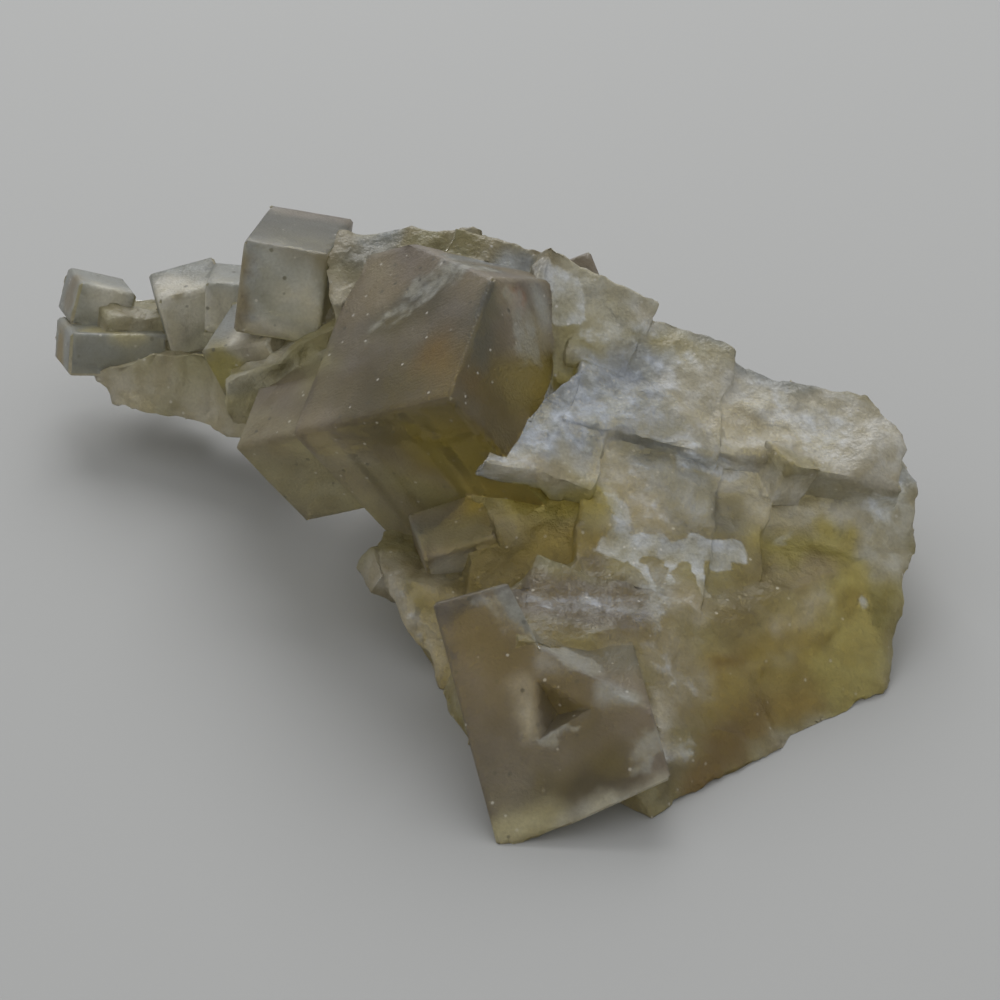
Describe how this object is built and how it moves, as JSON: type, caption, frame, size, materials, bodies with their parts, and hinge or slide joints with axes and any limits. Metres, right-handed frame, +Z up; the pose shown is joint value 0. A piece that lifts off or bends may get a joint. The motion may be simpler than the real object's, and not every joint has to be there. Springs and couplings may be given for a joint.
{
  "type": "cubic fluorite specimen",
  "caption": "Hand specimen of intergrown fluorite cubes on a broken, cleaved base that rests flat.",
  "frame": {"origin": "middle of the bounding box's bottom, on the surface that the specimen rests on", "axes": "+Z up, +X along the specimen's length towards its broken right end, +Y to its back"},
  "size_m": [0.0646, 0.0622, 0.0245],
  "materials": {
    "fluorite": "cloudy brown-olive fluorite, satin crystal faces and frosted white breaks"
  },
  "bodies": {
    "root": {"fluorite_cluster": "fluorite"}
  },
  "joints": []
}
